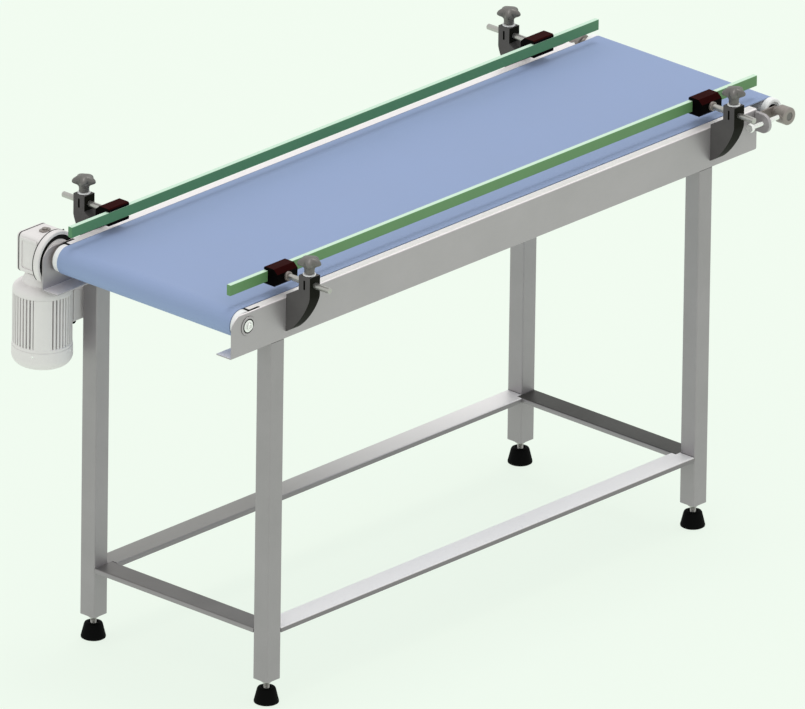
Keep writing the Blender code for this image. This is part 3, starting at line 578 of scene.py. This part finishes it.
def drive_shaft():
    """The shaft with its bolt head, and the bearing's ring on the front web, with painted shadow in the gap
    between them.
    """
    steps, far_end = 48, 0.318
    head = [(0, 0.0062), (0.0036, 0.0062), (0.0064, 0.0068), (0.0074, 0.0060), (0.0078, 0.0045),
            (0.0078, 0.0030), (0.0086, 0.0030), (0.0086, 0.0020), (0.0110, 0.0020), (0.0122, 0.0015),
            (0.0122, GAP), (0.010, GAP)]
    profile = [(radius, -FRAME_HALF - height) for radius, height in head]
    shaft = turned("shaft_with_head", profile + [(0.010, far_end), (0, far_end)], "Y", DRIVE, steps)
    socket = prism("cut_socket", regular(DRIVE, 0.0044, 6, 20), "Y", -0.2600, -0.2535)
    put(crisp(carve(shaft, socket), 30), "bright", "drive", "drive_shaft")
    ring = [(0.0146, 0.0004), (0.0190, 0.0004), (0.0196, 0.0008), (0.0192, 0.0016), (0.0160, 0.0020),
            (0.0146, 0.0012)]
    profile = [(radius, -FRAME_HALF - height) for radius, height in ring]
    put(crisp(turned("bearing_ring", profile, "Y", DRIVE, steps), 30), "stainless_plain", "base")
    # Painted shadow: a near-black annulus in the gap between the bolt head and the ring.
    gap = washer_profile(0.0124, 0.0145, -FRAME_HALF - GAP, -FRAME_HALF - 0.0010)
    put(crisp(turned("bearing_gap_shadow", gap, "Y", DRIVE, steps), 30), "cast_shadow", "base")


def rollers():
    roller("drive_pulley", "drive", DRIVE, DRIVE_RADIUS, 0.0103, 0.0015)
    roller("tail_pulley", "tail_pulley", TAIL, TAIL_RADIUS, 0.0083, 0.0030)
    drive_shaft()
    put(crisp(rod("tail_axle", 0.008, "Y", TAIL, -0.2815, 0.2815)), "steel", "take_up", "tail_shaft")
    for label, side in SIDES.items():
        seal = washer_profile(0.0090, 0.0132, side * 0.2380, side * 0.2412)
        put(crisp(turned(f"tail_seal_{label}", seal, "Y", TAIL, 40)), "rubber", "tail_pulley")


# Screw take-up


def take_up(label, side):
    """The slide bar with its round eye, and the screw that pulls it through the lug."""
    bar_start, bar_half, lug_radius = 0.607, 0.0115, 0.0200
    z = TAIL[1]
    bar = [(bar_start, z + bar_half), (bar_start, z - bar_half)] + arc(TAIL, bar_half, -90, 90, 24)
    slide = prism(f"slide_{label}", bar, "Y", *between(side, 0.2425, 0.2465))
    put(soften(slide, 0.0006), "zinc", "take_up", f"take_up_block_{label}")
    eye = [(0.0083, 0.2450), (0.0108, 0.2450), (0.0108, 0.2560), (0.0125, 0.2585), (0.0168, 0.2590),
           (0.0180, 0.2605), (0.0180, 0.2825), (0.0168, 0.2842), (0.0150, 0.2850), (0.0090, 0.2850),
           (0.0083, 0.2842)]
    put(crisp(turned(f"eye_{label}", [(r, side * y) for r, y in eye], "Y", TAIL, 56), 34), "zinc", "take_up")
    cap = rod(f"eye_cap_{label}", 0.0084, "Y", TAIL, *between(side, 0.2780, 0.2838), 32)
    put(crisp(cap), "knob_grey", "take_up")

    centre = (side * SCREW_Y, z)
    outline = [(side * WEB_OUTSIDE, z - lug_radius)]
    outline += arc(centre, lug_radius, -90, 90 if side > 0 else -270, 28)
    outline.append((side * WEB_OUTSIDE, z + lug_radius))
    hole = rod("cut_lug", 0.0048, "X", centre, 0.70, 0.73, 24)
    lug = carve(prism(f"lug_{label}", outline, "X", 0.710, FRAME_END), hole)
    put(soften(lug, 0.0016, 3), "stainless_plain", "base", f"take_up_lug_{label}")
    screw = f"take_up_screw_{label}"
    put(crisp(thread(f"thread_{label}", 0.0045, "X", centre, 0.682, 0.7645)), "bright", screw, screw)
    put(hexagon(f"head_{label}", "X", centre, 0.0092, 0.674, 0.6815, 10), "bright", screw)
    nut_outer, nut_inner = regular(centre, 0.0100, 6, 25), regular(centre, 0.0048, 6, 25)
    nut = band(f"lock_nut_{label}", nut_outer, nut_inner, "X", 0.7195, 0.7265)
    put(soften(nut, 0.0006), "zinc", "base")
    washer = turned(f"washer_{label}", washer_profile(0.0047, 0.0112, 0.7183, 0.7193), "X", centre)
    put(crisp(washer), "bright", "base")


# Gearmotor


def gearbox_outline(inset_x, inset_low, inset_high, radius):
    x, low = DRIVE[0], BOX_LOW + inset_low
    return rounded((x - BOX_HALF + inset_x, low), (x + BOX_HALF - inset_x, BOX_HIGH - inset_high), radius, 5)


def gearbox_housing():
    """A cast box, open to the cover, the motor and the shaft, with a raised frame on either side."""
    x, wall, rim = DRIVE[0], 0.006, 0.0022
    housing = prism("gearbox", gearbox_outline(0, 0, 0, 0.009), "Y", BOX_NEAR, BOX_FAR)
    inside = rounded((x - BOX_HALF + wall, BOX_LOW + wall), (x + BOX_HALF - wall, BOX_HIGH - wall), 0.004)
    hollow = prism("cut_hollow", inside, "Y", BOX_NEAR + wall, BOX_FAR + REACH)
    bore = rod("cut_bore", 0.013, "Y", DRIVE, BOX_NEAR - REACH, 0.285, 32)
    mouth = rod("cut_mouth", 0.020, "Z", MOTOR, BOX_LOW - REACH, BOX_LOW + 0.011, 32)
    put(soften(carve(housing, hollow, bore, mouth), 0.0022, 3), "cast_grey", "base", "gearbox_housing")
    outer = rounded((BOX_NEAR + 0.004, BOX_LOW + 0.006), (BOX_FAR - 0.004, BOX_HIGH - 0.006), 0.005)
    inner = rounded((BOX_NEAR + 0.010, BOX_LOW + 0.012), (BOX_FAR - 0.010, BOX_HIGH - 0.012), 0.004)
    for name, away in (("left", -1), ("right", 1)):
        face = x + away * BOX_HALF
        raised = band(f"side_rim_{name}", outer, inner, "X", *sorted((face, face + away * rim)))
        put(soften(raised, 0.0008), "cast_grey", "base")


def gearbox_cover():
    """The cover with its four screws, and painted shadow in the seam in front of it."""
    x, corner = DRIVE[0], 0.008
    cover = prism("cover", gearbox_outline(0, 0, 0, 0.009), "Y", BOX_FAR + GAP, BOX_FAR + 0.0040)
    put(soften(cover, 0.0010), "cast_grey", "base", "gearbox_cover")
    for dx in (-1, 1):
        for dz in (0, 1):
            height = BOX_LOW + corner + dz * (BOX_HIGH - BOX_LOW - 2 * corner)
            at = (x + dx * (BOX_HALF - corner), height)
            head = rod(f"cover_screw_{dx}_{dz}", 0.0036, "Y", at, BOX_FAR + 0.0030, BOX_FAR + 0.0062, 24)
            socket = prism("cut_hex", regular(at, 0.0018, 6), "Y", BOX_FAR + 0.0045, BOX_FAR + REACH)
            put(crisp(carve(head, socket)), "bright", "base")
    # Painted shadow: a near-black band round the seam between cover and housing.
    outer, inner = gearbox_outline(-GAP, -0.0002, -GAP, 0.009), gearbox_outline(0.002, 0.002, 0.002, 0.007)
    put(crisp(band("cover_seam_shadow", outer, inner, "Y", BOX_FAR - 0.0022, BOX_FAR)), "cast_shadow", "base")


def gearbox_top():
    """The vent plug, and a painted shadow for the slit beside the output flange."""
    x, vent = DRIVE[0], (DRIVE[0] + 0.005, MOTOR[1])
    plug = prism("plug", around(vent, 0.0127, 0.0080, 0.0078, 8), "Z", BOX_HIGH + 0.0002, BOX_HIGH + 0.0032)
    put(soften(plug, 0.0012, 3), "zinc", "base", "vent_plug")
    put(hexagon("plug_nut", "Z", vent, 0.0060, BOX_HIGH + 0.0030, BOX_HIGH + 0.0060), "zinc", "base")
    # Painted shadow: a near-black strip for the slit.
    outline = rounded((x + 0.004, BOX_NEAR + 0.002), (x + 0.036, BOX_NEAR + 0.0042), 0.0009, 3)
    put(crisp(prism("top_slit_shadow", outline, "Z", BOX_HIGH - 0.0010, BOX_HIGH + 0.0004)), "cast_shadow", "base")


def output_flange():
    """The ring between web and gearbox, with painted shadow in the recess round its neck and on its back
    edge, cut off flat below.
    """
    x, rim, wide = DRIVE[0], 0.0566, 0.08
    middle, across = (x, 0.812), (0.24, 0.28)
    disc = [(0, WEB_OUTSIDE), (0.0400, WEB_OUTSIDE), (0.0405, 0.2560), (0.0490, 0.2560), (0.0497, 0.2530),
            (rim - 0.0020, 0.2530), (rim - 0.0006, 0.2542), (rim, 0.2565), (rim, 0.2640),
            (rim - 0.0010, 0.2663), (0, 0.2663)]
    # Painted shadow: near-black rings in the recess and on the rim's back edge.
    recess = washer_profile(0.0404, 0.0493, 0.2545, 0.2562)
    back_edge_shadow = washer_profile(rim - 0.0014, rim + 0.0002, 0.2648, 0.2664)
    below = oblong(x - wide, 0.70, x + wide, BOX_LOW)
    ring, foot = turned("flange_disc", disc, "Y", middle, 88), prism("cut_flat", below, "Y", *across)
    bore = rod("cut_shaft", 0.0106, "Y", DRIVE, *across, 32, 0.0)
    put(crisp(carve(ring, foot, bore), 30), "cast_grey", "base", "output_flange")
    for name, profile in (("flange_recess_shadow", recess), ("flange_back_edge_shadow", back_edge_shadow)):
        ring, foot = turned(name, profile, "Y", middle, 88), prism("cut_flat", below, "Y", *across)
        put(crisp(carve(ring, foot), 30), "cast_shadow", "base")


def motor_flange():
    bell = [(0.012, 0.7777), (0.0335, 0.7777), (0.0345, 0.7760), (0.0345, 0.7700), (0.0370, 0.7660),
            (0.0395, 0.7610), (0.0400, 0.7572), (0.0460, 0.7555), (0.0520, 0.7520), (0.0565, 0.7475),
            (0.0585, 0.7430), (0.0588, 0.7364), (0.012, 0.7364)]
    put(crisp(turned("bell", bell, "Z", MOTOR, 88), 34), "cast_grey", "base", "motor_flange")


def motor_body():
    """Upright fins with smooth fields between them, over a near-black tube that is painted shadow in the
    grooves.
    """
    x, y = MOTOR
    fins, root_radius, fin_radius = 48, 0.0500, 0.0585
    smooth_fields, field_half = (225, 45, 0), 18
    fin_corners = ((-0.50, True), (-0.30, True), (-0.26, False), (-0.10, False), (0.10, False), (0.26, False),
                   (0.30, True))
    pitch = 360 / fins
    outer = []
    for i in range(fins):
        angle = i * pitch
        finned = min(abs((angle - p + 180) % 360 - 180) for p in smooth_fields) > field_half
        for turn, at_root in fin_corners:
            radius = root_radius if at_root and finned else fin_radius
            at = math.radians(angle + turn * pitch)
            outer.append((x + radius * math.cos(at), y + radius * math.sin(at)))
    stator = band("stator", outer, ring_of(MOTOR, 0.030, len(outer)), "Z", 0.6330, 0.7360)
    put(crisp(stator, 30), "cast_grey", "base", "motor_body")
    # Painted shadow: a near-black tube seen between the fins.
    groove_shadow = band("fin_groove_shadow", ring_of(MOTOR, 0.0506, 96), ring_of(MOTOR, 0.048, 96), "Z", 0.634, 0.735)
    put(crisp(groove_shadow), "cast_shadow", "base")
    ring = [(0.0310, 0.6263), (0.0588, 0.6263), (0.0590, 0.6275), (0.0590, 0.6320), (0.0580, 0.6335),
            (0.0310, 0.6335)]
    put(crisp(turned("end_ring", ring, "Z", MOTOR, 88)), "cast_grey", "base")


def fan_cover():
    """A round hood with air slots in its floor and four screws in its wall."""
    x, y = MOTOR
    bottom, sheet, turn, radius, slots_count = 0.586, 0.002, 0.022, 0.0600, 16
    corner = (radius - turn, bottom + turn)
    cowl = [(0.0596, 0.6262)] + arc(corner, turn, 0, -90, 14) + [(0.014, bottom), (0.014, bottom + sheet)]
    cowl += arc(corner, turn - sheet, -90, 0, 14) + [(0.0576, 0.6262)]
    hood = turned("cowl", cowl, "Z", MOTOR, 88)
    slots = []
    for i in range(slots_count):
        angle = math.radians(i * 360 / slots_count)
        outward = Vector((math.cos(angle), math.sin(angle)))
        aside = Vector((-math.sin(angle), math.cos(angle)))
        corners = ((0.018, -0.0012), (0.034, -0.0020), (0.034, 0.0020), (0.018, 0.0012))
        quad = [tuple(Vector(MOTOR) + outward * r + aside * w) for r, w in corners]
        slots.append(prism("cut_slot", quad, "Z", 0.580, 0.592))
    put(crisp(carve(hood, *slots), 34), "cast_grey", "base", "fan_cover")
    for angle in (205, 115, 25, 295):
        bolt = rod(f"cowl_screw_{angle}", 0.0026, "X", (0, 0), 0.0585, 0.0606, 20)
        spin = Matrix.Rotation(math.radians(angle), 4, "Z")
        bolt.data.transform(Matrix.Translation((x, y, 0.6190)) @ spin)
        put(crisp(bolt), "bright", "base")


def terminal_box():
    """The case on the motor's side, with its gasket, lid, lid screws and empty cable gland."""
    x, y = MOTOR
    start, middle = x + 0.0588, (y, 0.697)
    case = prism("terminal_case", around(middle, 0.034, 0.035, 0.006), "X", start - 0.006, start + 0.030)
    put(soften(case, 0.0012), "cast_grey", "base", "terminal_box")
    lid = prism("terminal_lid", around(middle, 0.0345, 0.0355, 0.0065), "X", start + 0.0308, start + 0.0460)
    put(soften(lid, 0.0035, 3), "cast_grey", "base")
    outline = around(middle, 0.0330, 0.0340, 0.005)
    put(crisp(prism("terminal_gasket", outline, "X", start + 0.0298, start + 0.0310)), "rubber", "base")
    for dy in (-1, 1):
        for z in (0.669, 0.725):
            at = (y + dy * 0.0275, z)
            screw = rod(f"lid_screw_{dy}_{z}", 0.0030, "X", at, start + 0.0440, start + 0.0472, 20)
            put(crisp(screw), "bright", "base")
    at = (x + 0.0825, y)
    tube = [(0.0045, 0.6617), (0.0080, 0.6617), (0.0080, 0.6560), (0.0088, 0.6555), (0.0088, 0.6470),
            (0.0075, 0.6440), (0.0045, 0.6440)]
    put(crisp(turned("gland_tube", tube, "Z", at, 32)), "rubber", "base", "cable_gland")
    nut = band("gland_nut", regular(at, 0.0108, 6), regular(at, 0.0080, 6), "Z", 0.6550, 0.6610)
    put(soften(nut, 0.0007), "rubber", "base")


# Guide rails and their supports


def guide_rail(label, side):
    y0, y1 = between(side, RAIL_INNER, RAIL_OUTER)
    outline = rounded((y0, RAIL_LOW), (y1, RAIL_HIGH), 0.0012, 3)
    bar = prism(f"rail_bar_{label}", outline, "X", RAIL_START, RAIL_END)
    finish = "green" if label == "front" else "green_back_painted_shade"
    put(soften(bar, 0.0005), finish, f"rail_{label}", f"guide_rail_{label}")


def rail_clamp(name, body, x, side):
    """The clip round the rail, with the rod and its collar."""
    section = [(0.240, 0.8740), (0.232, 0.8665), (0.2040, 0.8665), (0.2036, 0.8722), (0.2143, 0.8722),
               (0.2143, 0.8953), (0.2036, 0.8953), (0.2040, 0.9000), (0.2065, 0.9020), (0.2300, 0.9020),
               (0.240, 0.8930)]
    half_length, rod_radius = 0.0285, 0.006
    clamp = prism(f"clip_{name}", [(side * y, z) for y, z in section], "X", x - half_length, x + half_length)
    socket = rod("cut_socket", rod_radius + GAP, "Y", (x, ROD_Z), *between(side, 0.2277, 0.25), 32)
    put(soften(carve(clamp, socket), 0.0028, 3), "black_plastic", body, f"rail_clamp_{name}")
    collar = [(0.0063, 0.2402), (0.0092, 0.2402), (0.0092, 0.2445), (0.0084, 0.2452), (0.0063, 0.2452)]
    profile = [(r, side * y) for r, y in collar]
    put(crisp(turned(f"collar_{name}", profile, "Y", (x, ROD_Z), 32)), "zinc", body)
    bar = rod(f"bar_{name}", rod_radius, "Y", (x, ROD_Z), *between(side, 0.228, 0.352), 40, 0.0012)
    put(crisp(bar), "steel", body, f"rail_rod_{name}")


def rail_bracket(name, x, side):
    """A curved plate on the web that rises to a block, with a slot and holes for rod and stud."""
    half, slot_half, quarter_steps = BLOCK / 2, 0.0022, 30
    near, inner, outer = WEB_OUTSIDE, SUPPORT_Y - half, SUPPORT_Y + half
    fin = []
    for i in range(quarter_steps + 1):
        turn = math.radians(90 * i / quarter_steps)
        across, down = math.sin(turn) ** FIN_POWER, math.cos(turn) ** FIN_POWER
        fin.append((near + (outer - near) * across, FIN_SHOULDER - FIN_DEPTH * down))
    fin += [(outer, BLOCK_HIGH), (inner, BLOCK_HIGH), (inner, 0.871), (near, 0.8525)]
    bracket = prism(f"fin_{name}", [(side * y, z) for y, z in fin], "X", x - half, x + half)
    bore = rod("cut_rod", 0.0063, "Y", (x, ROD_Z), *between(side, inner - 0.02, outer + 0.02), 36)
    slot_outline = around((side * SUPPORT_Y, 0.8845), slot_half, 0.0100, 0.0020)
    slot = prism("cut_slot", slot_outline, "X", x - half - REACH, x + half + REACH)
    tap = rod("cut_tap", 0.0043, "Z", (x, side * SUPPORT_Y), ROD_Z, BLOCK_HIGH + REACH, 24)
    put(soften(carve(bracket, bore, slot, tap), 0.0012), "dark_cast", "base", f"rail_bracket_{name}")


def knob(name, x, y):
    """A star knob: rings of (radius, depth of the hollows between its lobes, height)."""
    steps, lobes, body = 100, 5, f"knob_{name}"
    rings = [(0.0086, 0, 0.9055), (0.0098, 0, 0.9062), (0.0102, 0, 0.9090), (0.0100, 0, 0.9130),
             (0.0112, 0.0008, 0.9175), (0.0150, 0.0030, 0.9212), (0.0205, 0.0070, 0.9235),
             (0.0238, 0.0092, 0.9256), (0.0246, 0.0094, 0.9278), (0.0240, 0.0088, 0.9306),
             (0.0215, 0.0070, 0.9336), (0.0165, 0.0040, 0.9366), (0.0100, 0.0012, 0.9389),
             (0.0050, 0, 0.9397)]
    bm = bmesh.new()
    loops = []
    for radius, depth, z in rings:
        loop = []
        for i in range(steps):
            angle = 2 * math.pi * i / steps
            r = radius - 0.5 * depth * (1 - math.cos(lobes * angle))
            loop.append(bm.verts.new((x + r * math.cos(angle), y + r * math.sin(angle), z)))
        loops.append(loop)
    bm.faces.new(loops[0])
    bm.faces.new(loops[-1])
    stacked(bm, loops, False)
    head = mesh_object(bm, f"knob_head_{name}")
    put(crisp(head, 50), "knob_grey", body, f"star_knob_{name}")
    washer = [(0, 0.9024), (0.0125, 0.9024), (0.0128, 0.9028), (0.0128, 0.9044), (0.0122, 0.9048),
              (0, 0.9048)]
    put(crisp(turned(f"knob_washer_{name}", washer, "Z", (x, y), 48)), "white_plastic", body)
    put(crisp(thread(f"knob_stud_{name}", 0.0040, "Z", (x, y), 0.8906, 0.9056, 0.0012)), "steel", body)


# The nodes that stay as they are packed


def dress_nodes():
    finishes = {
        "slider_bed": "stainless_plain",
        "cross_tie_drive": "stainless_cross_painted_shade", "cross_tie_tail": "stainless_cross_painted_shade",
        "drive_bearing_front": "zinc", "drive_bearing_back": "zinc", "return_roller": "zinc",
        "bevel_gear": "steel", "motor_rotor": "steel",
    }
    for node, finish in finishes.items():
        obj = crisp(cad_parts[node])
        obj.data.materials.clear()
        obj.data.materials.append(MATERIALS[finish])


# Floor, light and camera


def floor():
    """A pale floor that glows, so that shadows on it stay faint."""
    bm = bmesh.new()
    bmesh.ops.create_circle(bm, cap_ends=True, segments=96, radius=160.0)
    ground = mesh_object(bm, "floor")
    ground.location.z = -0.0005
    made = surface("floor_paint", (0.12, 0.13, 0.12), 0.9, 0.0, 60.0, 0.004, 0.0, gloss=0.0)
    shader = made.node_tree.nodes["Principled BSDF"]
    shader.inputs["Emission Color"].default_value = (0.752, 0.828, 0.745, 1)
    shader.inputs["Emission Strength"].default_value = 1.0
    ground.data.materials.append(made)


def light():
    """An even sky and one wide, soft key light from above."""
    world = bpy.data.worlds.new("studio")
    bpy.context.scene.world = world
    world.use_nodes = True
    back = world.node_tree.nodes["Background"]
    back.inputs["Color"].default_value = (0.960, 0.975, 0.950, 1)
    back.inputs["Strength"].default_value = 0.90
    lamp = bpy.data.lights.new("key", "SUN")
    lamp.energy = 0.80
    lamp.angle = math.radians(24)
    lamp.color = (1.0, 0.985, 0.97)
    key = bpy.data.objects.new("key", lamp)
    key.rotation_euler = Vector((0.24, 0.06, 1.0)).to_track_quat("Z", "Y").to_euler()
    bpy.context.scene.collection.objects.link(key)


def camera():
    """A long lens far off, in front of the drive end and above the belt."""
    azimuth, elevation, roll = math.radians(-47.6465), math.radians(22.5393), math.radians(0.8044)
    distance, shift_across, shift_above, target = 60.0, 0.01305, 0.4405, Vector((-0.035, 0, 0))
    level = math.cos(elevation)
    away = Vector((math.sin(azimuth) * level, -math.cos(azimuth) * level, math.sin(elevation)))
    right = (-away).cross(UP).normalized()
    up = right.cross(-away)
    across = math.cos(roll) * right + math.sin(roll) * up
    above = -math.sin(roll) * right + math.cos(roll) * up
    data = bpy.data.cameras.new("camera")
    data.sensor_width = 36.0
    data.lens = 1375.4
    data.clip_end = 400.0
    data.clip_start = 0.1
    obj = bpy.data.objects.new("camera", data)
    matrix = Matrix((across, above, away)).transposed().to_4x4()
    matrix.translation = distance * away + shift_across * across + shift_above * above + target
    obj.matrix_world = matrix
    bpy.context.scene.collection.objects.link(obj)
    bpy.context.scene.camera = obj


belt()
rollers()
gearbox_housing()
gearbox_cover()
gearbox_top()
output_flange()
motor_flange()
motor_body()
fan_cover()
terminal_box()
dress_nodes()
for label, side in SIDES.items():
    long_brace(label, side)
for end in ENDS:
    end_brace(end)
for label, side in SIDES.items():
    side_frame(label, side)
    take_up(label, side)
    guide_rail(label, side)
    for end in ENDS:
        name, x = f"{end}_{label}", SUPPORT_X[end]
        legs_and_feet(end, label, side)
        rail_clamp(name, f"rail_{label}", x, side)
        rail_bracket(name, x, side)
        knob(name, x, side * SUPPORT_Y)
floor()
light()
camera()
bpy.context.scene.view_settings.view_transform = "Standard"
